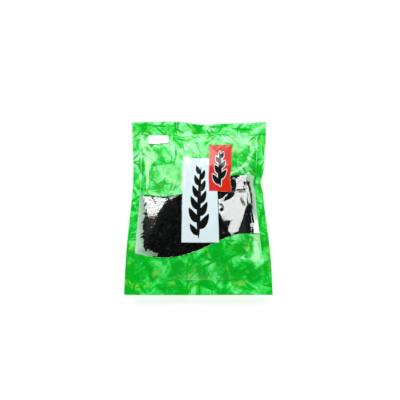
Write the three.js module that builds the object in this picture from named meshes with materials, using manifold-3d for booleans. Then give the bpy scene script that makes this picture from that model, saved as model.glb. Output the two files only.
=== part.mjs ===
// A sealed film pouch of dried cut wakame, lying on its back.
// Millimetres, +Z up. X runs across the pouch, Y from its bottom seal to its top seal, Z out of its front.
// The origin is on the surface that the pouch lies on, under its middle.

import * as THREE from 'three';
import { mergeVertices } from 'three/addons/utils/BufferGeometryUtils.js';
import Module from 'manifold-3d';

const wasm = await Module();
wasm.setup();

// Driving dimensions of the flat pouch
const WIDTH = 150;
const HEIGHT = 195;
const SIDE_SEAL = 9;
const TOP_SEAL = 12;
const BOTTOM_SEAL = 15;
const FILM = 0.5; // thicker than the real film, so that each sheet is a sound solid
const SEAL_GAP = 0.3; // between the two films at the seals

// How the filled pouch bulges
const SEAL_LEVEL = 9; // height of the seals above the surface
const FRONT_RISE = 17; // of the front film above the seals
const BACK_DROP = 10.5; // of the back film below the seals, before the surface flattens it
const BULGE_BOXINESS = 2.4;
const BULGE_STEEPNESS = 0.75;

// How far the bulge draws the edges in, as bumps along the edge
const RIGHT_PULLS = [{ depth: 6, middle: 15, spread: 50 }, { depth: 2.4, middle: 26, spread: 8.5 }];
const LEFT_PULLS = [{ depth: 5, middle: 29, spread: 60 }];
const TOP_PULL = { depth: 2.6, middle: 5, spread: 16 };
const PULL_FADE = 3; // power by which the top edge's pull dies out downwards

// How the seals wave up and down, and how the right one buckles beside its kink
const TOP_WAVE = { height: 2.2, start: -70, length: 135 };
const BOTTOM_WAVE = { height: 0.6, start: 20, length: 140 };
const BUCKLE = { depth: 3, middle: 26, spread: 10 };
const WAVE_FADE = 4; // power by which a wave dies out towards the middle

// The clear window: a band between two waves, with a printed panel and label hanging into it
const WAVE_HALF_LENGTH = 97;
const WAVE_TROUGH = -32;
const WINDOW_TOP = { middle: 18.6, swing: 14.6 };
const WINDOW_BOTTOM = { middle: -46.6, swing: 14.2 };
const WINDOW_REACH = WIDTH / 2 - SIDE_SEAL - 0.5;
const PANEL = { left: -17.5, right: 21.5, bottom: -46.2 };
const LABEL = { right: 37.5, bottom: 9.3 };
const PANE_GAP = 0.3; // between the printed film and a clear pane
const OUTLINE_STEP = 6; // spacing of points along a wave

// The contents: a low core, with curled flakes standing out of it on all sides
const HEAP = { across: 2, along: -16, level: 12.5, reachAcross: 50, reachAlong: 52, reachUp: 7.5 };
const CORE_SIDES = 20;
const FLAKE_COUNT = 76;
const FLAKE_SPREAD = 0.97; // share of the core that flakes are rooted over
const UNDERSIDE_EVERY = 3; // one flake in this many is on the core's lower face
const FLAKE_LENGTH = { least: 20, most: 38 };
const FLAKE_WIDTH = { least: 5, most: 10 };
const FLAKE_THICKNESS = 1;
const FLAKE_SEGMENTS = 4;
const FLAKE_LIFT = { least: 2, most: 7 }; // of a flake's ends above its sunk middle
const FLAKE_ROOT = 1.8; // how deep the middle is sunk in the core
const FLAKE_ROLL = 0.9; // largest tilt across its width, in radians
const FLAKE_TURN = 0.9; // largest turn from end to end, in radians
const FLAKE_TIP = 0.35; // share of the width left at the ends
const FILM_CLEARANCE = 0.9; // between a flake and the film
const FINEST_DETAIL = 0.05; // smaller steps in the fused heap are smoothed away
const SEED = 20731;

const MERGE_DISTANCE = 0.001; // vertices closer than this are one
const COLUMN_CELLS = 18; // grid cells between the side seals
const ROW_CELLS = 22; // and between the bottom and top seals
const SHEET_CENTRE = (BOTTOM_SEAL - TOP_SEAL) / 2; // middle of the unsealed area along Y
const HALF_OPEN = { across: WIDTH / 2 - SIDE_SEAL, along: (HEIGHT - TOP_SEAL - BOTTOM_SEAL) / 2 };

const bump = (at, { depth, middle, spread }) => depth * Math.exp(-(((at - middle) / spread) ** 2));
const wave = (at, { height, start, length }) => height * Math.sin((2 * Math.PI * (at - start)) / length);

// Shape of the filled pouch. A point of a film is named by where it lies on the flat film:
// across, from -WIDTH / 2 to WIDTH / 2, and along, from -HEIGHT / 2 at the bottom to HEIGHT / 2 at the top.

function bulge(across, along) {
  const fade = (share) => 1 - Math.min(1, Math.abs(share)) ** BULGE_BOXINESS;
  return (
    (fade(across / HALF_OPEN.across) * fade((along - SHEET_CENTRE) / HALF_OPEN.along)) ** BULGE_STEEPNESS
  );
}

function sealLevel(across, along) {
  const upwards = along / HEIGHT + 0.5; // 0 at the bottom edge, 1 at the top edge
  const outwards = Math.max(0, across / (WIDTH / 2));
  return (
    SEAL_LEVEL +
    wave(across, TOP_WAVE) * upwards ** WAVE_FADE +
    wave(across, BOTTOM_WAVE) * (1 - upwards) ** WAVE_FADE -
    bump(along, BUCKLE) * outwards ** WAVE_FADE
  );
}

const frontOutside = (across, along) =>
  sealLevel(across, along) + SEAL_GAP / 2 + FILM + FRONT_RISE * bulge(across, along);
const frontInside = (across, along) => frontOutside(across, along) - FILM;
const backOutside = (across, along) =>
  Math.max(0, sealLevel(across, along) - SEAL_GAP / 2 - FILM - BACK_DROP * bulge(across, along));
const backInside = (across, along) => backOutside(across, along) + FILM;

// Where a point of the flat film is in the filled pouch, at height z.
function place(across, along, z) {
  const pulls = across > 0 ? RIGHT_PULLS : LEFT_PULLS;
  const drawnIn = pulls.reduce((sum, pull) => sum + bump(along, pull), 0);
  const upwards = along / HEIGHT + 0.5;
  return new THREE.Vector3(
    across * (1 - drawnIn / (WIDTH / 2)),
    along - bump(across, TOP_PULL) * upwards ** PULL_FADE,
    z,
  );
}

// Joining and cutting closed meshes

function solidOf(geometry) {
  const bare = geometry.clone();
  bare.deleteAttribute('normal');
  bare.deleteAttribute('uv');
  const merged = mergeVertices(bare, MERGE_DISTANCE);
  return new wasm.Manifold(
    new wasm.Mesh({
      numProp: 3,
      vertProperties: new Float32Array(merged.attributes.position.array),
      triVerts: new Uint32Array(merged.index.array),
    }),
  );
}

function geometryOf(solid) {
  const { vertProperties, triVerts } = solid.getMesh();
  const geometry = new THREE.BufferGeometry();
  geometry.setAttribute('position', new THREE.BufferAttribute(vertProperties, 3));
  geometry.setIndex(new THREE.BufferAttribute(triVerts, 1));
  geometry.computeVertexNormals();
  return geometry;
}

// The body with the most material, without loose scraps and sealed hollows.
function largestBody(solid) {
  return solid.decompose().reduce((best, body) => (body.volume() > best.volume() ? body : best));
}

// The two films

// Grid lines from edge to edge: the seals, and between them cells that are shorter beside the seals.
function gridLines(lowEdge, lowSeal, highSeal, highEdge, cells) {
  const middle = (lowSeal + highSeal) / 2;
  const half = (highSeal - lowSeal) / 2;
  const inner = Array.from({ length: cells + 1 }, (_, i) => {
    const share = (2 * i) / cells - 1;
    return middle + (half * (share + Math.sin((share * Math.PI) / 2))) / 2;
  });
  return [lowEdge, ...inner, highEdge];
}

const COLUMNS = gridLines(-WIDTH / 2, -HALF_OPEN.across, HALF_OPEN.across, WIDTH / 2, COLUMN_CELLS);
const ROWS = gridLines(-HEIGHT / 2, BOTTOM_SEAL - HEIGHT / 2, HEIGHT / 2 - TOP_SEAL, HEIGHT / 2, ROW_CELLS);

// A closed sheet between two faces, each a height over the flat film, split alike on both faces.
function sheetGeometry(lowerFace, upperFace) {
  const across = COLUMNS.length;
  const along = ROWS.length;
  const points = [lowerFace, upperFace].flatMap((face) =>
    ROWS.flatMap((b) => COLUMNS.map((a) => place(a, b, face(a, b)))),
  );
  const lower = (i, j) => j * across + i;
  const upper = (i, j) => across * along + lower(i, j);
  const index = [];
  for (let j = 0; j + 1 < along; j += 1) {
    for (let i = 0; i + 1 < across; i += 1) {
      index.push(upper(i, j), upper(i + 1, j), upper(i + 1, j + 1));
      index.push(upper(i, j), upper(i + 1, j + 1), upper(i, j + 1));
      index.push(lower(i, j), lower(i + 1, j + 1), lower(i + 1, j));
      index.push(lower(i, j), lower(i, j + 1), lower(i + 1, j + 1));
    }
  }
  const rim = (from, to) => {
    index.push(lower(...from), lower(...to), upper(...to));
    index.push(lower(...from), upper(...to), upper(...from));
  };
  for (let i = 0; i + 1 < across; i += 1) {
    rim([i, 0], [i + 1, 0]);
    rim([i + 1, along - 1], [i, along - 1]);
  }
  for (let j = 0; j + 1 < along; j += 1) {
    rim([across - 1, j], [across - 1, j + 1]);
    rim([0, j + 1], [0, j]);
  }
  return new THREE.BufferGeometry().setFromPoints(points).setIndex(index);
}

// The clear panes of the front film

const windowEdge = ({ middle, swing }, across) =>
  middle - swing * Math.cos((Math.PI * (across - WAVE_TROUGH)) / WAVE_HALF_LENGTH);

function edgePoints(edge, from, to) {
  const count = Math.ceil(Math.abs(to - from) / OUTLINE_STEP);
  return Array.from({ length: count + 1 }, (_, i) => {
    const across = from + ((to - from) * i) / count;
    return new THREE.Vector2(across, windowEdge(edge, across));
  });
}

// Where the window's lower edge crosses the foot of the printed panel.
function panelCrossing() {
  const cosine = (WINDOW_BOTTOM.middle - PANEL.bottom) / WINDOW_BOTTOM.swing;
  return WAVE_TROUGH + (WAVE_HALF_LENGTH * Math.acos(cosine)) / Math.PI;
}

// Anticlockwise outlines on the flat film.
const LEFT_PANE = [
  ...edgePoints(WINDOW_BOTTOM, -WINDOW_REACH, panelCrossing()),
  new THREE.Vector2(PANEL.left, PANEL.bottom),
  ...edgePoints(WINDOW_TOP, PANEL.left, -WINDOW_REACH),
];
const RIGHT_PANE = [
  ...edgePoints(WINDOW_BOTTOM, PANEL.right, WINDOW_REACH),
  ...edgePoints(WINDOW_TOP, WINDOW_REACH, LABEL.right),
  new THREE.Vector2(LABEL.right, LABEL.bottom),
  new THREE.Vector2(PANEL.right, LABEL.bottom),
];

// An outline moved outwards by a distance, or inwards if the distance is negative.
function offsetOutline(outline, distance) {
  const outward = (from, to) => new THREE.Vector2(to.y - from.y, from.x - to.x).normalize();
  return outline.map((point, i) => {
    const before = outward(outline.at(i - 1), point);
    const after = outward(point, outline[(i + 1) % outline.length]);
    const mitre = before.clone().add(after);
    return point.clone().addScaledVector(mitre, (2 * distance) / mitre.lengthSq());
  });
}

function panePrism(outline, grown) {
  const plan = offsetOutline(outline, grown).map(({ x, y }) => {
    const placed = place(x, y, 0);
    return new THREE.Vector2(placed.x, placed.y);
  });
  const depth = 2 * (SEAL_LEVEL + FRONT_RISE);
  return solidOf(new THREE.ExtrudeGeometry(new THREE.Shape(plan), { depth, bevelEnabled: false }));
}

// The wakame

// A repeatable stream of numbers from 0 to 1.
function seededRandom(seed) {
  let state = seed;
  return () => {
    state = (state + 0x6d2b79f5) | 0;
    let mixed = Math.imul(state ^ (state >>> 15), 1 | state);
    mixed = (mixed + Math.imul(mixed ^ (mixed >>> 7), 61 | mixed)) ^ mixed;
    return ((mixed ^ (mixed >>> 14)) >>> 0) / 2 ** 32;
  };
}

// A closed ribbon through rings of four corners: two below, right and left, and two above, left and right.
function ribbonGeometry(rings) {
  const index = [];
  const quad = (a, b, c, d) => index.push(a, b, c, a, c, d);
  for (let ring = 0; ring + 1 < rings.length; ring += 1) {
    for (let corner = 0; corner < 4; corner += 1) {
      const next = (corner + 1) % 4;
      quad(4 * ring + corner, 4 * ring + next, 4 * (ring + 1) + next, 4 * (ring + 1) + corner);
    }
  }
  quad(3, 2, 1, 0);
  const last = 4 * (rings.length - 1);
  quad(last, last + 1, last + 2, last + 3);
  return new THREE.BufferGeometry().setFromPoints(rings.flat()).setIndex(index);
}

// The nearest height to z at which a ring with these side corners clears both films.
function clearLevel(z, sides) {
  const room = FILM_CLEARANCE + FLAKE_THICKNESS / 2;
  const highest = Math.min(...sides.map(({ a, b, rise }) => frontInside(a, b) - rise)) - room;
  const lowest = Math.max(...sides.map(({ a, b, rise }) => backInside(a, b) - rise)) + room;
  return highest > lowest ? Math.min(highest, Math.max(lowest, z)) : (highest + lowest) / 2;
}

// One curled flake, sunk at its middle into the core and lifting at both ends.
function flake(number, random) {
  const between = ({ least, most }) => least + (most - least) * random();
  const bearing = number * Math.PI * (3 - Math.sqrt(5));
  const reach = FLAKE_SPREAD * Math.sqrt((number + 0.5) / FLAKE_COUNT);
  const side = number % UNDERSIDE_EVERY === 0 ? -1 : 1;
  const surface = HEAP.level + side * HEAP.reachUp * Math.sqrt(1 - reach ** 2);
  const heading = 2 * Math.PI * random();
  const turn = FLAKE_TURN * (2 * random() - 1);
  const roll = FLAKE_ROLL * (2 * random() - 1);
  const length = between(FLAKE_LENGTH);
  const width = between(FLAKE_WIDTH);
  const lifts = [between(FLAKE_LIFT), between(FLAKE_LIFT)];
  const rings = [];
  for (let step = 0; step <= FLAKE_SEGMENTS; step += 1) {
    const share = (2 * step) / FLAKE_SEGMENTS - 1; // -1 and 1 at the ends
    const way = heading + turn * share;
    const a = HEAP.across + HEAP.reachAcross * reach * Math.cos(bearing) + (share * length * Math.cos(way)) / 2;
    const b = HEAP.along + HEAP.reachAlong * reach * Math.sin(bearing) + (share * length * Math.sin(way)) / 2;
    const half = (width / 2) * (1 - (1 - FLAKE_TIP) * share ** 2);
    const lift = lifts[share < 0 ? 0 : 1] * share ** 2 - FLAKE_ROOT;
    const leftward = new THREE.Vector2(-Math.sin(way), Math.cos(way)).multiplyScalar(half * Math.cos(roll));
    const sides = [-1, 1].map((hand) => ({
      a: a + hand * leftward.x,
      b: b + hand * leftward.y,
      rise: hand * half * Math.sin(roll),
    }));
    const z = clearLevel(surface + side * lift, sides);
    const corner = ({ a: across, b: along, rise }, face) =>
      place(across, along, z + rise + (face * FLAKE_THICKNESS) / 2);
    rings.push([corner(sides[0], -1), corner(sides[1], -1), corner(sides[1], 1), corner(sides[0], 1)]);
  }
  return solidOf(ribbonGeometry(rings));
}

function heapCore() {
  const core = new THREE.SphereGeometry(1, CORE_SIDES, CORE_SIDES / 2);
  core.rotateX(Math.PI / 2);
  core.scale(HEAP.reachAcross, HEAP.reachAlong, HEAP.reachUp);
  core.translate(HEAP.across, HEAP.along, HEAP.level);
  return solidOf(core);
}

function wakameGeometry() {
  const random = seededRandom(SEED);
  let heap = heapCore();
  for (let number = 0; number < FLAKE_COUNT; number += 1) {
    heap = heap.add(flake(number, random));
  }
  let geometry = geometryOf(heap.simplify(FINEST_DETAIL));
  let remade = solidOf(geometry);
  while (remade.decompose().length > 1) {
    geometry = geometryOf(largestBody(remade)); // drops the scraps and the sealed hollows between flakes
    remade = solidOf(geometry);
  }
  return geometry;
}

// Materials
const PRINTED_FILM = new THREE.MeshStandardMaterial({ color: 0x35c94f, roughness: 0.3, metalness: 0 });
const CLEAR_FILM = new THREE.MeshStandardMaterial({
  color: 0xeef6f0,
  roughness: 0.12,
  metalness: 0,
  transparent: true,
  opacity: 0.3,
});
const DRIED_WAKAME = new THREE.MeshStandardMaterial({ color: 0x0d130d, roughness: 0.6, metalness: 0 });

// Assembly
const pouch = new THREE.Group();

function addPiece(name, geometry, material) {
  const piece = new THREE.Mesh(geometry, material);
  piece.name = name;
  pouch.add(piece);
}

const panes = { window_film_left: LEFT_PANE, window_film_right: RIGHT_PANE };
const frontSheet = solidOf(sheetGeometry(frontInside, frontOutside));
const printedFront = Object.values(panes).reduce(
  (film, outline) => film.subtract(panePrism(outline, PANE_GAP / 2)),
  frontSheet,
);
addPiece('front_film', geometryOf(largestBody(printedFront)), PRINTED_FILM);
for (const [name, outline] of Object.entries(panes)) {
  const pane = frontSheet.intersect(panePrism(outline, -PANE_GAP / 2));
  addPiece(name, geometryOf(largestBody(pane)), CLEAR_FILM);
}
addPiece('back_film', sheetGeometry(backOutside, backInside), PRINTED_FILM);
addPiece('wakame_flakes', wakameGeometry(), DRIED_WAKAME);

export default pouch;
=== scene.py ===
"""The looks of a sealed film pouch of dried cut wakame, lying on its back. Metres, +Z up."""

import math

import bmesh
import bpy
import numpy as np
from mathutils import Matrix, Vector


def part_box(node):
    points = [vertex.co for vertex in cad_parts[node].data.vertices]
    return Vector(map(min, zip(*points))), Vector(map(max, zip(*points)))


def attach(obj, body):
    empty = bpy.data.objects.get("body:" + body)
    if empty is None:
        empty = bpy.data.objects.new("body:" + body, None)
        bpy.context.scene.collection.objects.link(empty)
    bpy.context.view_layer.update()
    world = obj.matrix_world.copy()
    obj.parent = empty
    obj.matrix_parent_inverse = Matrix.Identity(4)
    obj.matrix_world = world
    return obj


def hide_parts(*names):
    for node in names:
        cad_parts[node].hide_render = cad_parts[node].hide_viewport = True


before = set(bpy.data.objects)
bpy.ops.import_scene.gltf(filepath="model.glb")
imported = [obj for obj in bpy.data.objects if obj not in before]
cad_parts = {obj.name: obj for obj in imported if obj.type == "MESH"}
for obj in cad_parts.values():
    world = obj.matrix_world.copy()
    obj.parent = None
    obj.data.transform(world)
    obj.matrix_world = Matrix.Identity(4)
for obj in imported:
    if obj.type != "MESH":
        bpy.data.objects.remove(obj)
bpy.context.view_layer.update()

MM = 0.001

# The flat pouch
FILM_LOW, FILM_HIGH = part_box("back_film")
WIDTH = FILM_HIGH.x - FILM_LOW.x
HEIGHT = FILM_HIGH.y - FILM_LOW.y
SIDE_SEAL = 9 * MM
TOP_SEAL = 12 * MM
BOTTOM_SEAL = 15 * MM
FILM = 0.12 * MM
WELD_GAP = 0.02 * MM
HALF_ACROSS = WIDTH / 2 - SIDE_SEAL
BOTTOM_LINE = BOTTOM_SEAL - HEIGHT / 2
TOP_LINE = HEIGHT / 2 - TOP_SEAL

# How the filled pouch bulges: the solids' shape, with thin film
SEAL_LEVEL = 9 * MM
FRONT_RISE = 17.5 * MM
BACK_DROP = 11 * MM
BULGE_BOXINESS = 2.8
TOP_SOFTNESS = 1.3

# Depth, middle and spread of the bumps by which the bulge draws the edges in
RIGHT_PULLS = ((6 * MM, 15 * MM, 50 * MM), (2.4 * MM, 26 * MM, 8.5 * MM))
LEFT_PULLS = ((5 * MM, 29 * MM, 60 * MM),)
TOP_PULL = (2.6 * MM, 5 * MM, 16 * MM)
PULL_FADE = 3
FLAT_STEPS = 5

# Height, start and length of the seals' waves, and the buckle beside the right edge's kink
TOP_WAVE = (2.2 * MM, -70 * MM, 135 * MM)
BOTTOM_WAVE = (0.6 * MM, 20 * MM, 140 * MM)
BUCKLE = (3 * MM, 26 * MM, 10 * MM)
WAVE_FADE = 4

# The clear window: a band between two waves, with a printed panel and label hanging into it
WAVE_HALF_LENGTH = 97 * MM
WAVE_TROUGH = -32 * MM
WINDOW_TOP = (18.6 * MM, 14.6 * MM)
WINDOW_BOTTOM = (-46.6 * MM, 14.2 * MM)
PANEL = (-17.5 * MM, 21.5 * MM, -46.2 * MM, 49.4 * MM)  # left, right, bottom, top
LABEL = (12 * MM, 37.5 * MM, 9.3 * MM, 68 * MM)
BADGE = (-57 * MM, -33.6 * MM, 69 * MM, 80.5 * MM)
BADGE_CORNER = 3 * MM

# Fineness of the films' meshes
FRONT_CELL = 0.85 * MM
BACK_CELL = 1.6 * MM


# Shape of the filled pouch. A point of a film is named by where it lies on the flat film,
# a across and b along, both from the pouch's middle.


def bump(at, depth, middle, spread):
    return depth * np.exp(-(((at - middle) / spread) ** 2))


def wave(at, height, start, length):
    return height * np.sin(2 * math.pi * (at - start) / length)


def bulge(a, b):
    middle = (TOP_LINE + BOTTOM_LINE) / 2
    half = (TOP_LINE - BOTTOM_LINE) / 2
    across = 1 - np.minimum(1, np.abs(a / HALF_ACROSS)) ** BULGE_BOXINESS
    along = 1 - np.minimum(1, np.abs((b - middle) / half)) ** BULGE_BOXINESS
    return across * np.where(b > middle, along**TOP_SOFTNESS, along)


def seal_level(a, b):
    upwards = b / HEIGHT + 0.5
    outwards = np.maximum(0, a / (WIDTH / 2))
    level = SEAL_LEVEL + wave(a, *TOP_WAVE) * upwards**WAVE_FADE
    level = level + wave(a, *BOTTOM_WAVE) * (1 - upwards) ** WAVE_FADE
    return level - bump(b, *BUCKLE) * outwards**WAVE_FADE


def pulled_in(a, b):
    right = sum(bump(b, *pull) for pull in RIGHT_PULLS)
    left = sum(bump(b, *pull) for pull in LEFT_PULLS)
    return np.where(a > 0, right, left)


def plan_of(a, b):
    """Where a point of the flat film is in plan."""
    x = a * (1 - pulled_in(a, b) / (WIDTH / 2))
    y = b - bump(a, *TOP_PULL) * (b / HEIGHT + 0.5) ** PULL_FADE
    return x, y


def flat_of(x, y):
    """The point of the flat film that is over a point in plan."""
    a, b = x, y
    for _ in range(FLAT_STEPS):
        a = x / (1 - pulled_in(a, b) / (WIDTH / 2))
        b = y + bump(a, *TOP_PULL) * (b / HEIGHT + 0.5) ** PULL_FADE
    return a, b


def front_bulge(a, b):
    """Height of the front film's outer face, without its folds."""
    return seal_level(a, b) + WELD_GAP / 2 + FILM + FRONT_RISE * bulge(a, b)


def back_bulge(a, b):
    """Height of the back film's outer face, without its folds."""
    return np.maximum(0, seal_level(a, b) - WELD_GAP / 2 - FILM - BACK_DROP * bulge(a, b))


# The films' folds. A grid of points starts on the smooth bulge, with random dents. Springs then give
# it back the lengths of the flat film, which is held at the seals, so that it settles in folds.

SETTLE_CELL = 1.8 * MM
SETTLE_STEPS = 320
FILM_SLACK = 1.007
SHEAR_STIFFNESS = 0.7
BEND_STIFFNESS = 0.35
OUTWARD_PUSH = 0.002 * MM
DENT_HEIGHT = 0.6 * MM
DENT_SMOOTHING = 20
SOFTENING_STEPS = 4
DEEPEST_FOLD = 3 * MM
HIGHEST_FOLD = 1.2 * MM
FRONT_SEED = 5
BACK_SEED = 8

# Flats of the front film, between folds: three corners of each, across and along the flat film, and
# how deep each lies under the smooth bulge, in millimetres. The film may lie a little lower than a flat.
FLAT_PLAY = 0.12 * MM
TOP_FLATS = [
    [(-60, 83, 0), (-30, 83, 0), (2, 72, 0.2)],
    [(-30, 83, 0), (2, 83, 0), (2, 72, 0.2)],
    [(2, 83, 0), (60, 83, 0), (2, 72, 0.2)],
]
SHOULDER_FLATS = [
    [(-56, 43.5, 0), (-18, 41.5, 0), (-18, 9, 0)],
    [(-56, 43.5, 0), (-18, 9, 0), (-60, 14, -0.9)],
]
LABEL_DENT = (37.5, 31, -0.5)
LABEL_CORNER = (37.5, 8, 0)
LABEL_FLATS = [
    [(11, 68, 0), (37.5, 68, 0), (37.5, 38, 0)],
    [(11, 68, 0), (37.5, 38, 0), (11, 38, 0)],
    [(11, 38, 0), (37.5, 38, 0), LABEL_DENT],
    [(11, 38, 0), LABEL_DENT, LABEL_CORNER],
    [(11, 38, 0), LABEL_CORNER, (11, 8, 0)],
]
LEFT_FLATS = [
    [(-63, 10, 0), (-38, 2, 0), (-57, -12, 0)],
    [(-38, 2, 0), (-47, -11, 0), (-57, -12, 0)],
]

# The right pane's plate: its rim lies in a slanted plane and its middle a little deeper
PLATE_MIDDLE = (47, 6)
PLATE_DEPTH = 2.2
PLATE_SLOPE = -0.335
PLATE_DISH = 0.3


def plate_corner(a, b, dish=0):
    """A corner of the plate's flats: where it is on the flat film and how deep under the smooth bulge."""
    bulge_here = front_bulge(a * MM, b * MM) / MM
    bulge_at_middle = front_bulge(PLATE_MIDDLE[0] * MM, PLATE_MIDDLE[1] * MM) / MM
    plane = bulge_at_middle - PLATE_DEPTH + PLATE_SLOPE * (a - PLATE_MIDDLE[0])
    return a, b, bulge_here - plane + dish


PLATE_TOP = [plate_corner(*place) for place in ((43.6, 21), (46, 31), (57.5, 33.5), (58.5, 24))]
PLATE_RIGHT = [plate_corner(*place) for place in ((58.5, 16), (56.5, 8), (55, 0), (50.5, -11.5))]
PLATE_TIP = plate_corner(41.6, -35.3)
PLATE_LEFT = [plate_corner(*place) for place in ((35.5, -22), (33.7, -9.3), (28.7, -1.7), (40, 8))]
PLATE_RIM = [*PLATE_TOP, *PLATE_RIGHT, PLATE_TIP, *PLATE_LEFT]
PLATE_CENTRE = plate_corner(*PLATE_MIDDLE, PLATE_DISH)
PLATE_FLATS = [[PLATE_CENTRE, PLATE_RIM[k - 1], PLATE_RIM[k]] for k in range(len(PLATE_RIM))]
STRIP_MIDDLE = (60.5, -12, 2)
STRIP_FOOT = (56.5, -36, 3)
BESIDE_PLATE_FLATS = [
    [LABEL_DENT, PLATE_TOP[1], PLATE_TOP[0]],
    [LABEL_DENT, PLATE_TOP[0], LABEL_CORNER],
    [PLATE_TOP[0], PLATE_LEFT[3], LABEL_CORNER],
    [PLATE_LEFT[0], PLATE_TIP, (29, -36, 0.3)],
    [PLATE_RIGHT[2], PLATE_RIGHT[3], STRIP_MIDDLE],
    [PLATE_RIGHT[3], PLATE_TIP, STRIP_MIDDLE],
    [PLATE_TIP, STRIP_MIDDLE, STRIP_FOOT],
    [PLATE_TIP, STRIP_FOOT, (48.5, -60, 2)],
    [(22.6, 7.7, 0), (28, 7.9, 1.1), (25.1, 1.4, 0.5)],
    [(22.8, -4.1, 0), (27.4, -7, 0.9), (24.5, -12.4, 0.4)],
    [(23.5, -37.4, 0), (29.6, -37.1, 1.1), (26.3, -29.8, 0.6)],
]
PRINT_FLATS = TOP_FLATS + SHOULDER_FLATS + LABEL_FLATS
FRONT_FLATS = np.array(PRINT_FLATS + LEFT_FLATS + PLATE_FLATS + BESIDE_PLATE_FLATS) * MM

# Short creases: the two ends of each on the flat film, and its height
FRONT_CREASES = np.array(
    [
        [(55, 22.4, 0.3), (59.7, 18, 0.3)],
        [(46, 12.5, 0.3), (53, 13.3, 0.3)],
        [(49.2, 4.4, 0.35), (51, -2.3, 0.35)],
        [(-52, 10, 0.25), (-46, -2, 0.25)],
    ]
) * MM
CREASE_WIDTH = 1.1 * MM


def smooth_dents(shape, seed):
    """Random heights over a grid, evened out until they are broad dents about DENT_HEIGHT deep."""
    heights = np.random.default_rng(seed).normal(0, 1, shape)
    for _ in range(DENT_SMOOTHING):
        neighbours = [np.roll(heights, step, axis) for step in (-1, 1) for axis in (0, 1)]
        heights = (heights + sum(neighbours)) / 5
    return DENT_HEIGHT * heights / heights.std()


def spring_pairs(number, down, across):
    """Pairs of a grid's points that are a step apart, in two batches in which no point comes twice."""
    rows, columns = number.shape
    first = number[: rows - down, max(0, -across) : columns - max(0, across)]
    second = number[down:, max(0, across) : columns + min(0, across)]
    row, column = np.indices(first.shape)
    turn = row // down % 2 if down else column // across % 2
    return [(first[turn == parity], second[turn == parity]) for parity in (0, 1)]


def film_springs(flat, free):
    """Springs along, across and aslant the grid, and longer ones that only push, against sharp bends."""
    number = np.arange(free.size).reshape(free.shape)
    kinds = [(0, 1, 1, False), (1, 0, 1, False)]
    kinds += [(1, 1, SHEAR_STIFFNESS, False), (1, -1, SHEAR_STIFFNESS, False)]
    kinds += [(0, 2, BEND_STIFFNESS, True), (2, 0, BEND_STIFFNESS, True)]
    springs = []
    for down, across, stiffness, only_push in kinds:
        for first, second in spring_pairs(number, down, across):
            moving = free.ravel()[first] + free.ravel()[second] > 0
            first, second = first[moving], second[moving]
            length = FILM_SLACK * np.linalg.norm(flat[first] - flat[second], axis=1)
            freedom = free.ravel()[first] + free.ravel()[second]
            share_first = (free.ravel()[first] / freedom)[:, None]
            springs.append((first, second, length, share_first, 1 - share_first, stiffness, only_push))
    return springs


def under_flats(a, b, height, flats):
    """The most that a film with flats may rise at points of the flat film."""
    ceiling = np.full(a.shape, np.inf)
    for a_corners, b_corners, depths in (corners.T for corners in flats):
        levels = height(a_corners, b_corners) - depths
        sides = np.array([a_corners[1:] - a_corners[0], b_corners[1:] - b_corners[0]])
        offsets = np.stack([a - a_corners[0], b - b_corners[0]])
        second, third = np.tensordot(np.linalg.inv(sides), offsets, axes=1)
        first = 1 - second - third
        plane = first * levels[0] + second * levels[1] + third * levels[2]
        inside = np.minimum(np.minimum(first, second), third) >= 0
        ceiling = np.where(inside, np.minimum(ceiling, plane), ceiling)
    return ceiling


def settle(height, outward, seed, flats=()):
    """Rise of a settled film over its smooth height, as a function of the flat film."""
    columns = round(2 * HALF_ACROSS / SETTLE_CELL) + 1
    rows = round((TOP_LINE - BOTTOM_LINE) / SETTLE_CELL) + 1
    a_lines = np.linspace(-HALF_ACROSS, HALF_ACROSS, columns)
    b_lines = np.linspace(BOTTOM_LINE, TOP_LINE, rows)
    a, b = np.meshgrid(a_lines, b_lines)
    free = np.zeros((rows, columns))
    free[1:-1, 1:-1] = 1
    goal = np.stack([*plan_of(a, b), height(a, b)], axis=-1)
    lowest = np.maximum(0, goal[..., 2] - (DEEPEST_FOLD if outward > 0 else HIGHEST_FOLD))
    highest = goal[..., 2] + (HIGHEST_FOLD if outward > 0 else DEEPEST_FOLD)
    flat_level = under_flats(a, b, height, flats)
    highest = np.where(free, np.minimum(highest, flat_level), goal[..., 2])
    lowest = np.where(flat_level < np.inf, highest - FLAT_PLAY, lowest)
    lowest = np.where(free, np.minimum(lowest, highest), goal[..., 2])
    grid = goal.copy()
    grid[..., 2] += free * smooth_dents(free.shape, seed)
    springs = film_springs(np.stack([a.ravel(), b.ravel()], axis=1), free)
    place = grid.reshape(-1, 3)
    for _ in range(SETTLE_STEPS):
        for first, second, length, share_first, share_second, stiffness, only_push in springs:
            gap = place[second] - place[first]
            now = np.sqrt((gap * gap).sum(axis=1))
            excess = stiffness * (now - length) / now
            if only_push:
                excess = np.minimum(excess, 0)
            move = gap * excess[:, None]
            place[first] += share_first * move
            place[second] -= share_second * move
        normal = np.cross(np.gradient(grid, axis=1), np.gradient(grid, axis=0))
        normal /= np.linalg.norm(normal, axis=-1, keepdims=True)
        grid += outward * OUTWARD_PUSH * normal * free[..., None]
        grid[..., 2] = np.clip(grid[..., 2], lowest, highest)
    rise = grid[..., 2] - goal[..., 2]
    for _ in range(SOFTENING_STEPS):
        neighbours = [np.roll(rise, step, axis) for step in (-1, 1) for axis in (0, 1)]
        rise = np.where((free > 0) & (flat_level == np.inf), (rise + sum(neighbours)) / 5, rise)

    def field(a, b):
        inside = (np.abs(a) < HALF_ACROSS) & (b > BOTTOM_LINE) & (b < TOP_LINE)
        across = (a + HALF_ACROSS) / (2 * HALF_ACROSS) * (columns - 1)
        along = (b - BOTTOM_LINE) / (TOP_LINE - BOTTOM_LINE) * (rows - 1)
        return np.where(inside, smooth_between(rise, across, along), 0)

    return field


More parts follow.
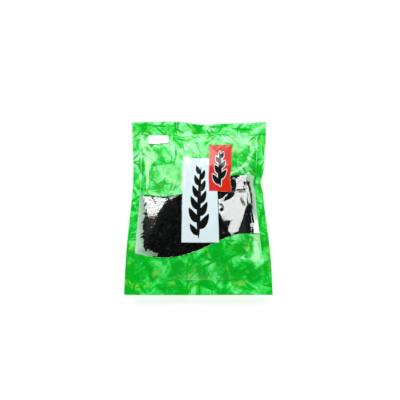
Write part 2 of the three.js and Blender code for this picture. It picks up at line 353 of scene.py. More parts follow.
def smooth_between(grid, across, along):
    """Values at fractional places in a grid, on smooth curves through its points."""
    column = np.clip(np.floor(across).astype(int), 0, grid.shape[1] - 2)
    row = np.clip(np.floor(along).astype(int), 0, grid.shape[0] - 2)
    padded = np.pad(grid, 1, mode="edge")
    value = 0
    for down, row_share in enumerate(cubic_shares(along - row)):
        for right, column_share in enumerate(cubic_shares(across - column)):
            value = value + row_share * column_share * padded[row + down, column + right]
    return value


def cubic_shares(t):
    """Shares of four points in a row at a place that is t of the way from the second to the third."""
    first = (-t + 2 * t**2 - t**3) / 2
    second = (2 - 5 * t**2 + 3 * t**3) / 2
    third = (t + 4 * t**2 - 3 * t**3) / 2
    return first, second, third, 1 - first - second - third


front_folds = settle(front_bulge, 1, FRONT_SEED, FRONT_FLATS)
back_folds = settle(back_bulge, -1, BACK_SEED)


def creases(a, b):
    """Height of the short creases over the film they are in."""
    total = 0 * a
    for start, end in FRONT_CREASES:
        run = end[:2] - start[:2]
        share = ((a - start[0]) * run[0] + (b - start[1]) * run[1]) / (run @ run)
        share = np.clip(share, 0, 1)
        distance = np.hypot(a - start[0] - share * run[0], b - start[1] - share * run[1])
        total = total + start[2] * np.exp(-((distance / CREASE_WIDTH) ** 2))
    return total


def front_height(a, b):
    return front_bulge(a, b) + front_folds(a, b) + creases(a, b)


def back_height(a, b):
    return np.maximum(0, back_bulge(a, b) + back_folds(a, b))


# Meshes


def stretch(start, end, cell):
    """Evenly spaced values from start up to but not at end."""
    count = max(1, round(abs(end - start) / cell))
    return list(np.linspace(start, end, count, endpoint=False))


def lines_through(stops, cell):
    values = []
    for start, end in zip(stops, stops[1:]):
        values += stretch(start, end, cell)
    return np.array(values + [stops[-1]])


def window_edge(a, middle, swing):
    return middle - swing * np.cos(math.pi * (a - WAVE_TROUGH) / WAVE_HALF_LENGTH)


def grid_faces(columns, rows):
    i, j = np.meshgrid(np.arange(columns - 1), np.arange(rows - 1))
    corner = (j * columns + i).ravel()
    return np.stack([corner, corner + 1, corner + columns + 1, corner + columns], axis=1)


def front_flat():
    """The flat front film as a bmesh whose edges follow the window, and its clear faces."""
    a_stops = [-WIDTH / 2, -HALF_ACROSS, PANEL[0], PANEL[1], LABEL[1], HALF_ACROSS, WIDTH / 2]
    columns = lines_through(a_stops, FRONT_CELL)
    low_edge = window_edge(columns, *WINDOW_BOTTOM)
    high_edge = window_edge(columns, *WINDOW_TOP)
    full = np.ones_like(columns)
    stops = [-HEIGHT / 2 * full, BOTTOM_LINE * full, low_edge]
    stops += [high_edge, TOP_LINE * full, HEIGHT / 2 * full]
    rows = []
    for start, end in zip(stops, stops[1:]):
        count = round(np.mean(end - start) / FRONT_CELL)
        rows += [start + (end - start) * step / count for step in range(count)]
    rows = np.array(rows + [stops[-1]])
    film = bmesh.new()
    for row in rows:
        for a, b in zip(columns, row):
            film.verts.new((a, b, 0))
    film.verts.ensure_lookup_table()
    for face in grid_faces(len(columns), len(rows)):
        film.faces.new([film.verts[k] for k in face])
    for foot in (PANEL[2], LABEL[2]):
        across_foot = [f for f in film.faces if PANEL[0] < f.calc_center_median().x < LABEL[1]]
        parts = across_foot + list({e for f in across_foot for e in f.edges})
        parts += list({v for f in across_foot for v in f.verts})
        bmesh.ops.bisect_plane(film, geom=parts, plane_co=(0, foot, 0), plane_no=(0, 1, 0))
    film.faces.ensure_lookup_table()
    clear = [face for face in film.faces if in_window(face.calc_center_median())]
    return film, clear


def in_window(point):
    a, b = point.x, point.y
    band = window_edge(a, *WINDOW_BOTTOM) < b < window_edge(a, *WINDOW_TOP)
    under_panel = PANEL[0] < a < PANEL[1] and b > PANEL[2]
    under_label = LABEL[0] < a < LABEL[1] and b > LABEL[2]
    return abs(a) < HALF_ACROSS and band and not under_panel and not under_label


def film_object(name, flat, height):
    """An object of the flat bmesh, raised to its place, that keeps the flat film's coordinates."""
    mesh = bpy.data.meshes.new(name)
    flat.to_mesh(mesh)
    count = len(mesh.vertices)
    places = np.zeros(count * 3)
    mesh.vertices.foreach_get("co", places)
    a, b, _ = places.reshape(-1, 3).T
    x, y = plan_of(a, b)
    attribute = mesh.attributes.new("film", "FLOAT_VECTOR", "POINT")
    attribute.data.foreach_set("vector", np.stack([a, b, 0 * a], axis=1).astype(np.float32).ravel())
    mesh.vertices.foreach_set("co", np.stack([x, y, height(a, b)], axis=1).ravel())
    mesh.update()
    made = bpy.data.objects.new(name, mesh)
    bpy.context.scene.collection.objects.link(made)
    mesh.polygons.foreach_set("use_smooth", np.ones(len(mesh.polygons), bool))
    return made


def thicken(film, inner_slot):
    """Gives a film its thickness, inwards, with another material on its inner face."""
    solid = film.modifiers.new("thickness", "SOLIDIFY")
    solid.thickness = FILM
    solid.offset = -1
    solid.use_rim = True
    solid.material_offset = inner_slot
    return film


def make_front():
    film, clear = front_flat()
    panes = film.copy()
    clear_numbers = {face.index for face in clear}
    bmesh.ops.delete(film, geom=clear, context="FACES")
    panes.faces.ensure_lookup_table()
    printed = [face for face in panes.faces if face.index not in clear_numbers]
    bmesh.ops.delete(panes, geom=printed, context="FACES")
    clear_area = sum(face.calc_area() for face in panes.faces)
    front = film_object("printed_front_film", film, front_height)
    window = film_object("clear_window_film", panes, front_height)
    film.free()
    panes.free()
    return front, window, clear_area


def make_back():
    columns = lines_through([-WIDTH / 2, -HALF_ACROSS, HALF_ACROSS, WIDTH / 2], BACK_CELL)
    rows = lines_through([-HEIGHT / 2, BOTTOM_LINE, TOP_LINE, HEIGHT / 2], BACK_CELL)
    film = bmesh.new()
    for b in rows:
        for a in columns:
            film.verts.new((a, b, 0))
    film.verts.ensure_lookup_table()
    for face in grid_faces(len(columns), len(rows)):
        film.faces.new([film.verts[k] for k in reversed(face)])
    back = film_object("printed_back_film", film, back_height)
    film.free()
    return back


# The wakame: a dark core and curled, jagged flakes

HEAP_MIDDLE = np.array([2.5, -16, 12.5]) * MM
HEAP_REACH = np.array([57.5, 53, 8]) * MM
HEAP_BOXINESS = 4
CORE_SHARE = np.array([0.84, 0.9, 0.85])
FLAKE_COUNT = 680
FLAKE_LENGTH = (8 * MM, 24 * MM)
FLAKE_WIDTH = (3 * MM, 9 * MM)
FLAKE_THICKNESS = 0.45 * MM
FLAKE_ALONG = 11
FLAKE_ACROSS = 5
FLAKE_SEED = 11
FLAKE_TAPER = 0.8  # share of its width that a flake loses towards its ends
TAPER_POWER = 2.5
FLAKE_JAGS = (0.55, 1.1)  # least and greatest half width, as a share of the tapered one
FLAKE_END_JAGS = 0.04  # of the length
FLAKE_CURL = 1.2
FLAKE_CRUMPLE = 0.35 * MM
FLAKE_BEND = 1.6  # largest bend from end to end, in radians
LEAST_BEND = 1e-3  # a flake that bends less is straight
FLAKE_TWIST = 0.7
FLAKE_TILT = 0.35
FLAKE_DEPTH = 2.5 * MM  # mean depth under the front film
TOUCHING_SHARE = 0.75  # how much a flake's nearest point counts, against its mean, in meeting the film
SEAL_CLEARANCE = 4 * MM
FILM_CLEARANCE = 0.5 * MM
POLE = 1e-9  # reach in plan under which a point of the core is on its axis


def flake_points(rng):
    """A curled, twisted and jagged blade round the origin: its two faces as grids of points."""
    u, v = np.meshgrid(np.linspace(-1, 1, FLAKE_ALONG), np.linspace(-1, 1, FLAKE_ACROSS), indexing="ij")
    length = rng.uniform(*FLAKE_LENGTH)
    width = rng.uniform(*FLAKE_WIDTH)
    taper = 1 - FLAKE_TAPER * np.abs(np.linspace(-1, 1, FLAKE_ALONG)) ** TAPER_POWER
    edges = rng.uniform(*FLAKE_JAGS, (2, FLAKE_ALONG)) * taper
    half = width / 2 * np.where(v < 0, edges[0][:, None], edges[1][:, None])
    along = length / 2 * u + rng.normal(0, FLAKE_END_JAGS, u.shape) * length * (np.abs(u) == 1)
    across = v * half
    curl = rng.uniform(-FLAKE_CURL, FLAKE_CURL)
    lift = curl * across**2 / width + rng.normal(0, FLAKE_CRUMPLE, u.shape)
    turn = rng.uniform(-FLAKE_BEND, FLAKE_BEND) * u / 2
    straight = np.abs(turn) < LEAST_BEND
    radius = along / np.where(straight, 1, turn)
    x = np.where(straight, along, radius * np.sin(turn)) - lift * np.sin(turn)
    z = np.where(straight, 0, radius * (1 - np.cos(turn))) + lift * np.cos(turn)
    twist = rng.uniform(-FLAKE_TWIST, FLAKE_TWIST) * u
    y = across * np.cos(twist)
    z = z + across * np.sin(twist)
    middle = np.stack([x, y, z], axis=-1)
    normal = np.cross(np.gradient(middle, axis=0), np.gradient(middle, axis=1))
    normal /= np.linalg.norm(normal, axis=-1, keepdims=True)
    return middle + normal * FLAKE_THICKNESS / 2, middle - normal * FLAKE_THICKNESS / 2


def flake_faces():
    """Faces of a closed blade: its upper grid, its lower grid and the rim between them."""
    upper = np.arange(FLAKE_ALONG * FLAKE_ACROSS).reshape(FLAKE_ALONG, FLAKE_ACROSS)
    lower = upper + upper.size
    corners = [upper[:-1, :-1], upper[1:, :-1], upper[1:, 1:], upper[:-1, 1:]]
    top = np.stack([corner.ravel() for corner in corners], axis=1)
    bottom = top[:, ::-1] + upper.size
    loop = np.concatenate([upper[:-1, 0], upper[-1, :-1], upper[:0:-1, -1], upper[0, :0:-1]])
    onward = np.roll(loop, -1)
    rim = np.stack([loop, loop + upper.size, onward + upper.size, onward], axis=1)
    return np.concatenate([top, bottom, rim])


def film_room(x, y, height):
    return height(*flat_of(x, y))


def flake_place(rng):
    """A random place in the heap and a turn that lays a flake roughly along the film."""
    across, along = 1, 1
    while abs(across) ** HEAP_BOXINESS + abs(along) ** HEAP_BOXINESS > 1:
        across, along = rng.uniform(-1, 1, 2)
    x = HEAP_MIDDLE[0] + HEAP_REACH[0] * across
    y = HEAP_MIDDLE[1] + HEAP_REACH[1] * along
    turn = Matrix.Rotation(rng.uniform(0, 2 * math.pi), 3, "Z")
    tilt = Matrix.Rotation(rng.normal(0, FLAKE_TILT), 3, "X")
    tilt = tilt @ Matrix.Rotation(rng.normal(0, FLAKE_TILT), 3, "Y")
    return x, y, np.array(tilt @ turn)


def into_pouch(points):
    """The shift in plan that brings a flake clear of the seals."""
    a, b = flat_of(points[:, 0], points[:, 1])
    across = min(0, HALF_ACROSS - SEAL_CLEARANCE - a.max()) + max(0, SEAL_CLEARANCE - HALF_ACROSS - a.min())
    along = max(0, BOTTOM_LINE + SEAL_CLEARANCE - b.min())
    return across, along


def make_core():
    """A low core with the heap's outline in plan: its points and faces."""
    ball = bmesh.new()
    bmesh.ops.create_icosphere(ball, subdivisions=5, radius=1)
    points = np.array([tuple(v.co) for v in ball.verts])
    faces = [[v.index for v in face.verts] for face in ball.faces]
    ball.free()
    round_reach = np.linalg.norm(points[:, :2], axis=1)
    boxy_reach = (np.abs(points[:, :2]) ** HEAP_BOXINESS).sum(axis=1) ** (1 / HEAP_BOXINESS)
    points[:, :2] *= (round_reach / np.maximum(boxy_reach, POLE))[:, None]
    return points * HEAP_REACH * CORE_SHARE + HEAP_MIDDLE, faces


def make_flakes():
    rng = np.random.default_rng(FLAKE_SEED)
    faces = flake_faces()
    all_points, all_faces = [], []
    count = 0
    for _ in range(FLAKE_COUNT):
        upper, lower = flake_points(rng)
        x, y, turn = flake_place(rng)
        points = np.concatenate([upper.reshape(-1, 3), lower.reshape(-1, 3)]) @ turn.T
        points[:, 0] += x
        points[:, 1] += y
        points[:, :2] += into_pouch(points)
        ceiling = film_room(points[:, 0], points[:, 1], front_height) - FILM - FILM_CLEARANCE
        ground = film_room(points[:, 0], points[:, 1], back_height) + FILM + FILM_CLEARANCE
        room = ceiling - points[:, 2]
        rise = room.min() * TOUCHING_SHARE + room.mean() * (1 - TOUCHING_SHARE)
        points[:, 2] += rise - rng.exponential(FLAKE_DEPTH)
        is_lower = np.arange(len(points)) >= len(points) // 2
        points[:, 2] = np.minimum(points[:, 2], ceiling - FLAKE_THICKNESS * is_lower)
        points[:, 2] = np.maximum(points[:, 2], ground + FLAKE_THICKNESS * ~is_lower)
        all_points.append(points)
        all_faces.append(faces + count)
        count += len(points)
    core_points, core_faces = make_core()
    mesh = bpy.data.meshes.new("wakame")
    points = np.concatenate([*all_points, core_points])
    face_list = [list(map(int, face)) for block in all_faces for face in block]
    face_list += [[k + count for k in face] for face in core_faces]
    mesh.from_pydata(points.tolist(), [], face_list)
    mesh.update()
    made = bpy.data.objects.new("wakame", mesh)
    bpy.context.scene.collection.objects.link(made)
    mesh.polygons.foreach_set("use_smooth", np.ones(len(mesh.polygons), bool))
    return made


# Materials


class Nodes:
    """Short calls that add nodes to one node tree, of a material or of a group."""

    def __init__(self, tree, material=None):
        self.tree = tree
        self.material = material

    def add(self, kind, inputs=(), **settings):
        node = self.tree.nodes.new(kind)
        for key, value in settings.items():
            setattr(node, key, value)
        for key, value in dict(inputs).items():
            self.feed(node.inputs[key], value)
        return node

    def feed(self, socket, value):
        if isinstance(value, bpy.types.NodeSocket):
            self.tree.links.new(value, socket)
        else:
            socket.default_value = value

    def math(self, operation, first, second=0.0, clamp=False):
        made = self.add("ShaderNodeMath", {0: first, 1: second}, operation=operation, use_clamp=clamp)
        return made.outputs[0]

    def vector(self, operation, first, second=(0, 0, 0)):
        made = self.add("ShaderNodeVectorMath", {0: first, 1: second}, operation=operation)
        return made.outputs["Value" if operation in ("LENGTH", "DOT_PRODUCT") else "Vector"]

    def film(self):
        return self.add("ShaderNodeAttribute", attribute_name="film").outputs["Vector"]

    def split(self, vector):
        made = self.add("ShaderNodeSeparateXYZ", {0: vector})
        return made.outputs[0], made.outputs[1]

    def noise(self, vector, scale, detail=2.0, roughness=0.5, distortion=0.0):
        inputs = {"Vector": vector, "Scale": scale, "Detail": detail}
        inputs |= {"Roughness": roughness, "Distortion": distortion}
        return self.add("ShaderNodeTexNoise", inputs).outputs["Fac"]

    def between(self, value, low, high, at_low=0.0, at_high=1.0):
        inputs = {"Value": value, "From Min": low, "From Max": high, "To Min": at_low, "To Max": at_high}
        return self.add("ShaderNodeMapRange", inputs, interpolation_type="SMOOTHSTEP").outputs[0]

    def mix(self, share, first, second):
        made = self.add("ShaderNodeMix", data_type="RGBA")
        self.feed(made.inputs["Factor"], share)
        self.feed(made.inputs[6], first)
        self.feed(made.inputs[7], second)
        return made.outputs[2]

    def ramp(self, value, stops):
        made = self.add("ShaderNodeValToRGB", {"Fac": value})
        elements = made.color_ramp.elements
        while len(elements) < len(stops):
            elements.new(0.5)
        for element, (position, colour) in zip(elements, stops):
            element.position = position
            element.color = colour
        return made.outputs["Color"]

    def box(self, film, sides, corner=0.2 * MM, soft=0.25 * MM):
        """1 inside a box on the flat film, given as left, right, bottom and top, and 0 outside."""
        left, right, bottom, top = sides
        middle = ((left + right) / 2, (bottom + top) / 2, 0)
        half = ((right - left) / 2 - corner, (top - bottom) / 2 - corner, 1)
        outside = self.vector("ABSOLUTE", self.vector("SUBTRACT", film, middle))
        outside = self.vector("MAXIMUM", self.vector("SUBTRACT", outside, half))
        return self.between(self.vector("LENGTH", outside), corner + soft, corner - soft)

    def surface(self, shader):
        output = self.add("ShaderNodeOutputMaterial")
        self.tree.links.new(shader, output.inputs["Surface"])
        return self.material


def material_nodes(name):
    """The empty node tree of a new material."""
    material = bpy.data.materials.new(name)
    material.use_nodes = True
    material.node_tree.nodes.clear()
    return Nodes(material.node_tree, material)


def group_nodes(name, vectors, numbers, result):
    """The node tree of a new group with the named inputs and result, and the sockets of its inputs."""
    tree = bpy.data.node_groups.new(name, "ShaderNodeTree")
    for socket in vectors:
        tree.interface.new_socket(socket, in_out="INPUT", socket_type="NodeSocketVector")
    for socket in numbers:
        tree.interface.new_socket(socket, in_out="INPUT", socket_type="NodeSocketFloat")
    tree.interface.new_socket(result, in_out="OUTPUT", socket_type="NodeSocketFloat")
    nodes = Nodes(tree)
    return nodes, nodes.add("NodeGroupInput").outputs


def srgb(red, green, blue):
    """A colour given as in a picture, 0 to 255, as the linear values that a shader takes."""
    values = []
    for channel in (red, green, blue):
        share = channel / 255
        values.append(share / 12.92 if share <= 0.04045 else ((share + 0.055) / 1.055) ** 2.4)
    return (*values, 1.0)


def strand_group():
    """Nodes for scattered curved strokes: one in each cell of a random pattern."""
    helper, given = group_nodes("strands", ["Vector"], ["Width", "Length", "Share"], "Mask")
    pattern = {"Vector": given["Vector"], "Scale": 1.0}
    cells = helper.add("ShaderNodeTexVoronoi", pattern, voronoi_dimensions="2D")
    draws = helper.add("ShaderNodeSeparateColor", {0: cells.outputs["Color"]}).outputs
    local = helper.vector("SUBTRACT", given["Vector"], cells.outputs["Position"])
    angle = helper.math("MULTIPLY", draws[0], 2 * math.pi)
    turned = helper.add("ShaderNodeVectorRotate", {"Vector": local, "Angle": angle}, rotation_type="Z_AXIS")
    x, y = helper.split(turned.outputs[0])
    bend = helper.math("MULTIPLY", helper.math("SUBTRACT", draws[1], 0.5), 1.4)
    y = helper.math("SUBTRACT", y, helper.math("MULTIPLY", bend, helper.math("POWER", x, 2.0)))
    share = helper.math("DIVIDE", x, given["Length"])
    taper = helper.math("SUBTRACT", 1.0, helper.math("POWER", share, 2.0), clamp=True)
    half = helper.math("MULTIPLY", given["Width"], taper)
    edge = helper.math("SUBTRACT", half, helper.math("ABSOLUTE", y))
    mask = helper.math("DIVIDE", edge, helper.math("MULTIPLY", given["Width"], 0.6), clamp=True)
    kept = helper.math("LESS_THAN", draws[2], given["Share"])
    helper.add("NodeGroupOutput", {"Mask": helper.math("MULTIPLY", mask, kept)})
    return helper.tree


STRANDS = strand_group()


def strands(nodes, film, cell, width, length, share, shift):
    """1 on scattered curved strokes of the given width, about the given length, one to a cell."""
    scaled = nodes.vector("MULTIPLY", film, (1 / cell, 1 / cell, 1 / cell))
    moved = nodes.vector("ADD", scaled, (shift, 1.7 * shift, 0))
    values = {"Vector": moved, "Width": width / cell / 2, "Length": length / cell / 2, "Share": share}
    return nodes.add("ShaderNodeGroup", values, node_tree=STRANDS).outputs["Mask"]


def stroke_group():
    """Nodes for one brush stroke: how far inside its edge a point is, in metres, below 0 outside."""
    numbers = ["Angle", "Length", "Width", "Bend"]
    helper, given = group_nodes("brush_stroke", ["Vector", "Start"], numbers, "Inside")
    local = helper.vector("SUBTRACT", given["Vector"], given["Start"])
    back = helper.math("MULTIPLY", given["Angle"], -1.0)
    turned = helper.add("ShaderNodeVectorRotate", {"Vector": local, "Angle": back}, rotation_type="Z_AXIS")
    x, y = helper.split(turned.outputs[0])
    share = helper.math("DIVIDE", x, given["Length"], clamp=True)
    sideways = helper.math("MULTIPLY", helper.math("MULTIPLY", x, share), given["Bend"])
    y = helper.math("ABSOLUTE", helper.math("SUBTRACT", y, sideways))
    rise = helper.math("POWER", share, 0.5)
    fall = helper.math("POWER", helper.math("SUBTRACT", 1.0, share), 0.8)
    profile = helper.math("MULTIPLY", helper.math("MULTIPLY", rise, fall), 2.3)
    half = helper.math("MULTIPLY", helper.math("MULTIPLY", given["Width"], 0.5), profile)
    before = helper.math("MULTIPLY", x, -1.0)
    beyond = helper.math("SUBTRACT", x, given["Length"])
    past = helper.math("MAXIMUM", helper.math("MAXIMUM", before, beyond), 0.0)
    inside = helper.math("SUBTRACT", helper.math("SUBTRACT", half, y), past)
    helper.add("NodeGroupOutput", {"Inside": inside})
    return helper.tree


STROKE = stroke_group()


def stroke(nodes, film, start, angle, length, width, bend):
    """How far inside a brush stroke a point of the film is. Its end is bend times its length aside."""
    values = {"Vector": film, "Start": (*start, 0), "Angle": angle}
    values |= {"Length": length, "Width": width, "Bend": bend}
    return nodes.add("ShaderNodeGroup", values, node_tree=STROKE).outputs["Inside"]


# Fronds drawn in ink: foot, height, sway as a share of the height, lobes on both sides in all,
# and the longest lobe's length and width
PANEL_FROND = ((0 * MM, -42 * MM), 82 * MM, 0.04, 11, 19 * MM, 9 * MM)
LABEL_FROND = ((25 * MM, 15 * MM), 45 * MM, -0.03, 6, 13.5 * MM, 7 * MM)
RIB_WIDTH = 4.4 * MM
LOBE_SPREAD = math.radians(58)
LOBE_BEND = 0.32
BRUSH_ROUGHNESS = 0.5 * MM
INK_SOFTNESS = 0.14 * MM
OUTLINE = 0.9 * MM


def frond(nodes, film, foot, height, sway, lobes, lobe_length, lobe_width):
    """How far inside a drawn frond a point of the film is: a midrib with lobes on both sides."""
    inside = stroke(nodes, film, foot, math.pi / 2, height, RIB_WIDTH, -sway)
    for number in range(lobes):
        up = (number + 0.6) / (lobes + 1.2)
        side = 1 if number % 2 else -1
        start = (foot[0] + sway * height * up**2, foot[1] + height * up)
        size = 1 - 0.45 * up - 0.25 * (up < 0.08)
        angle = math.pi / 2 - side * LOBE_SPREAD * (1 - 0.35 * up)
        lobe = stroke(nodes, film, start, angle, lobe_length * size, lobe_width * size, side * LOBE_BEND)
        inside = nodes.math("MAXIMUM", inside, lobe)
    ragged = nodes.math("SUBTRACT", nodes.noise(film, 420, detail=2), 0.5)
    return nodes.math("ADD", inside, nodes.math("MULTIPLY", ragged, BRUSH_ROUGHNESS))


PALE_MINT = srgb(178, 252, 202)
MINT = srgb(106, 243, 132)
LEAF_GREEN = srgb(32, 222, 70)
DEEP_GREEN = srgb(0, 180, 38)
STROKE_GREEN = srgb(0, 184, 10)
HAIR_GREEN = srgb(0, 150, 22)
YELLOW_GREEN = srgb(128, 236, 84)
CLOUD_SCALE = 62
FIBRE_SLANT = 0.6
FIBRE_SCALES = (110, 620, 1)
FIBRE_SHARE = 0.16
YELLOW_SCALE = 75
FOOT_DARKENING = 0.09
HEAD_LIGHTENING = 0.03

# Strokes of the print: cell, width and length of one, share of the cells with one, opacity, colour,
# and a shift for each layer of them
STROKE_KINDS = (
    (15 * MM, 3.2 * MM, 18 * MM, 0.5, 0.85, STROKE_GREEN, (0.0, 5.3, 11.9)),
    (27 * MM, 3.4 * MM, 32 * MM, 0.6, 0.95, STROKE_GREEN, (6.7, 17.2)),
    (21 * MM, 0.7 * MM, 24 * MM, 0.4, 0.7, HAIR_GREEN, (2.2, 14.5)),
)


def paper_colour(nodes, film):
    """A print like fibrous paper: clouds of green, deeper towards the foot, with curved strokes."""
    clouds = nodes.noise(film, CLOUD_SCALE, detail=5, roughness=0.6, distortion=0.6)
    turned = {"Vector": film, "Angle": FIBRE_SLANT}
    slanted = nodes.add("ShaderNodeVectorRotate", turned, rotation_type="Z_AXIS")
    stretched = nodes.vector("MULTIPLY", slanted.outputs[0], FIBRE_SCALES)
    fibres = nodes.math("SUBTRACT", nodes.noise(stretched, 1.0, detail=3, distortion=1.5), 0.5)
    clouds = nodes.math("ADD", clouds, nodes.math("MULTIPLY", fibres, FIBRE_SHARE))
    along = nodes.split(film)[1]
    deeper = nodes.between(along, HEIGHT / 2, -HEIGHT / 3, -HEAD_LIGHTENING, FOOT_DARKENING)
    clouds = nodes.math("SUBTRACT", clouds, deeper)
    stops = [(0.37, DEEP_GREEN), (0.46, LEAF_GREEN), (0.55, MINT), (0.66, PALE_MINT)]
    colour = nodes.ramp(clouds, stops)
    yellow = nodes.between(nodes.noise(film, YELLOW_SCALE, detail=3), 0.55, 0.72, 0, 0.6)
    colour = nodes.mix(yellow, colour, YELLOW_GREEN)
    for cell, width, length, share, opacity, ink, shifts in STROKE_KINDS:
        for shift in shifts:
            mask = strands(nodes, film, cell, width, length, share, shift)
            colour = nodes.mix(nodes.math("MULTIPLY", mask, opacity), colour, ink)
    return colour


PANEL_WHITE = srgb(228, 245, 250)
LABEL_RED = srgb(218, 18, 6)
BADGE_WHITE = srgb(240, 244, 242)
BADGE_SHADOW = srgb(30, 92, 48)
INSIDE_WHITE = srgb(242, 254, 246)
INSIDE_MINT = srgb(208, 247, 220)
INK_BLACK = srgb(14, 17, 16)
BADGE_SHADOW_SHIFT = (0.6 * MM, -1.6 * MM, 0)
BADGE_SHADOW_SHARE = 0.9


def film_shader(nodes, colour):
    """The glossy finish of printed film."""
    inputs = {"Base Color": colour, "Roughness": 0.4, "Specular IOR Level": 0.05}
    inputs |= {"Coat Weight": 0.8, "Coat Roughness": 0.13}
    return nodes.add("ShaderNodeBsdfPrincipled", inputs).outputs[0]


def printed_front_material():
    nodes = material_nodes("printed_front")
    film = nodes.film()
    colour = paper_colour(nodes, film)
    colour = nodes.mix(nodes.box(film, PANEL), colour, PANEL_WHITE)
    leaf = frond(nodes, film, *PANEL_FROND)
    colour = nodes.mix(nodes.between(leaf, -INK_SOFTNESS, INK_SOFTNESS), colour, INK_BLACK)
    colour = nodes.mix(nodes.box(film, LABEL), colour, LABEL_RED)
    leaf = frond(nodes, film, *LABEL_FROND)
    halo = nodes.between(leaf, -OUTLINE - INK_SOFTNESS, INK_SOFTNESS - OUTLINE)
    colour = nodes.mix(halo, colour, PANEL_WHITE)
    colour = nodes.mix(nodes.between(leaf, -INK_SOFTNESS, INK_SOFTNESS), colour, INK_BLACK)
    shadow = nodes.vector("SUBTRACT", film, BADGE_SHADOW_SHIFT)
    shade = nodes.math("MULTIPLY", nodes.box(shadow, BADGE, BADGE_CORNER), BADGE_SHADOW_SHARE)
    colour = nodes.mix(shade, colour, BADGE_SHADOW)
    colour = nodes.mix(nodes.box(film, BADGE, BADGE_CORNER), colour, BADGE_WHITE)
    return nodes.surface(film_shader(nodes, colour))


def printed_back_material():
    nodes = material_nodes("printed_back")
    return nodes.surface(film_shader(nodes, paper_colour(nodes, nodes.film())))


def inside_material():
    """The pale inside of the film, with painted light: a faint even glow that stands in for the light that
    comes through the film.
    """
    nodes = material_nodes("film_inside")
    tint = nodes.noise(nodes.film(), 60, detail=3)
    colour = nodes.mix(tint, INSIDE_WHITE, INSIDE_MINT)
    inputs = {"Base Color": colour, "Roughness": 0.5, "Specular IOR Level": 0.2}
    # Painted light: this emission is the light that comes through the film, painted on as a glow
    inputs |= {"Emission Color": INSIDE_MINT, "Emission Strength": 0.2}
    return nodes.surface(nodes.add("ShaderNodeBsdfPrincipled", inputs).outputs[0])


MIRROR_SHARE = 0.05  # of the light that meets clear film squarely


def clear_material():
    nodes = material_nodes("clear_film")
    see_through = nodes.add("ShaderNodeBsdfTransparent", {"Color": srgb(250, 253, 251)}).outputs[0]
    gloss = nodes.add("ShaderNodeBsdfGlossy", {"Roughness": 0.09}).outputs[0]
    aslant = nodes.add("ShaderNodeLayerWeight", {"Blend": 0.5}).outputs["Facing"]
    grazing = nodes.math("MULTIPLY", nodes.math("POWER", aslant, 5.0), 1 - MIRROR_SHARE)
    mirror = nodes.math("ADD", grazing, MIRROR_SHARE)
    made = nodes.add("ShaderNodeMixShader", {0: mirror, 1: see_through, 2: gloss})
    return nodes.surface(made.outputs[0])


def wakame_material():
    nodes = material_nodes("dried_wakame")
    place = nodes.add("ShaderNodeTexCoord").outputs["Object"]
    tone = nodes.noise(place, 120, detail=4)
    colour = nodes.ramp(tone, [(0.35, srgb(2, 3, 3)), (0.6, srgb(6, 8, 7)), (0.75, srgb(18, 22, 16))])
    inputs = {"Base Color": colour, "Roughness": 0.45, "Specular IOR Level": 0.12}
    return nodes.surface(nodes.add("ShaderNodeBsdfPrincipled", inputs).outputs[0])


def floor_material():
    """A pale table that is lit a little from within."""
    nodes = material_nodes("pale_floor")
    inputs = {"Base Color": srgb(170, 170, 170), "Roughness": 1.0, "Specular IOR Level": 0.0}
    inputs |= {"Emission Color": (1, 1, 1, 1), "Emission Strength": 0.7}
    return nodes.surface(nodes.add("ShaderNodeBsdfPrincipled", inputs).outputs[0])


# Camera, floor and light

VIEW_ELEVATION = math.radians(68.5)
VIEW_DISTANCE = 794 * MM
FOCAL_PIXELS = 752
PICTURE_PIXELS = 400
FLOOR_REACH = 4
POUCH_PIXEL = (198.4, 204.9)  # where the pouch's middle is in the photograph


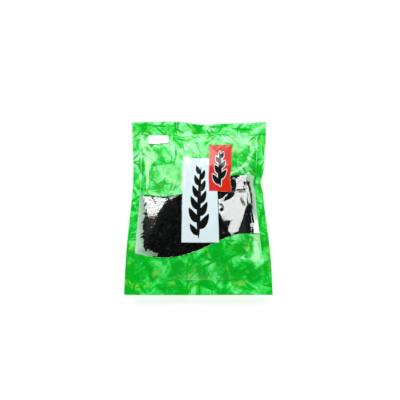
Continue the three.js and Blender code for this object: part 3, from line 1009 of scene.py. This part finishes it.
def make_camera():
    data = bpy.data.cameras.new("camera")
    camera = bpy.data.objects.new("camera", data)
    bpy.context.scene.collection.objects.link(camera)
    bpy.context.scene.camera = camera
    data.sensor_width = 36
    data.lens = data.sensor_width * FOCAL_PIXELS / PICTURE_PIXELS
    back = Vector((0, -math.cos(VIEW_ELEVATION), math.sin(VIEW_ELEVATION)))
    right = Vector((1, 0, 0))
    up = back.cross(right)
    pixel = VIEW_DISTANCE / FOCAL_PIXELS
    middle = Vector((0, 0, SEAL_LEVEL))
    shift_right = (PICTURE_PIXELS / 2 - POUCH_PIXEL[0]) * pixel
    shift_up = (POUCH_PIXEL[1] - PICTURE_PIXELS / 2) * pixel
    aim = middle + right * shift_right + up * shift_up
    camera.location = aim + back * VIEW_DISTANCE
    camera.rotation_euler = Matrix((right, up, back)).transposed().to_euler()


def make_floor():
    mesh = bpy.data.meshes.new("floor")
    corners = [(x * FLOOR_REACH, y * FLOOR_REACH, 0) for x, y in ((-1, -1), (1, -1), (1, 1), (-1, 1))]
    mesh.from_pydata(corners, [], [(0, 1, 2, 3)])
    floor = bpy.data.objects.new("floor", mesh)
    bpy.context.scene.collection.objects.link(floor)
    mesh.materials.append(floor_material())


def make_softbox(name, place, size, power):
    data = bpy.data.lights.new(name, "AREA")
    data.shape = "RECTANGLE"
    data.size, data.size_y = size
    data.energy = power
    light = bpy.data.objects.new(name, data)
    bpy.context.scene.collection.objects.link(light)
    light.location = place
    light.rotation_euler = (-Vector(place)).to_track_quat("-Z", "Y").to_euler()


def make_light():
    make_softbox("back_softbox", (0, 0.87, 0.43), (1.1, 0.27), 5.5)
    make_softbox("shoulder_softbox", (-0.43, 0.56, 0.7), (0.2, 0.2), 0.8)
    make_softbox("left_softbox", (-0.72, 0.45, 0.55), (0.3, 0.3), 3.4)
    make_softbox("right_softbox", (0.65, 0.37, 0.66), (0.24, 0.4), 3.2)
    make_softbox("front_fill", (0, -0.95, 0.7), (1.0, 0.4), 9)
    world = bpy.data.worlds.new("studio")
    bpy.context.scene.world = world
    world.use_nodes = True
    background = world.node_tree.nodes["Background"]
    background.inputs["Color"].default_value = (1, 1, 1, 1)
    background.inputs["Strength"].default_value = 0.02
    bpy.context.scene.view_settings.view_transform = "Standard"


# Assembly

make_camera()
make_floor()
make_light()

front, window, clear_area = make_front()
back = make_back()
wakame = make_flakes()

inside = inside_material()
front.data.materials.append(printed_front_material())
front.data.materials.append(inside)
window.data.materials.append(clear_material())
back.data.materials.append(printed_back_material())
back.data.materials.append(inside)
wakame.data.materials.append(wakame_material())
thicken(front, 1)
thicken(window, 0)
thicken(back, 1)

for piece in (front, window, back, wakame):
    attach(piece, "root")
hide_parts("front_film")
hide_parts("window_film_left", "window_film_right")
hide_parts("back_film")
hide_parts("wakame_flakes")
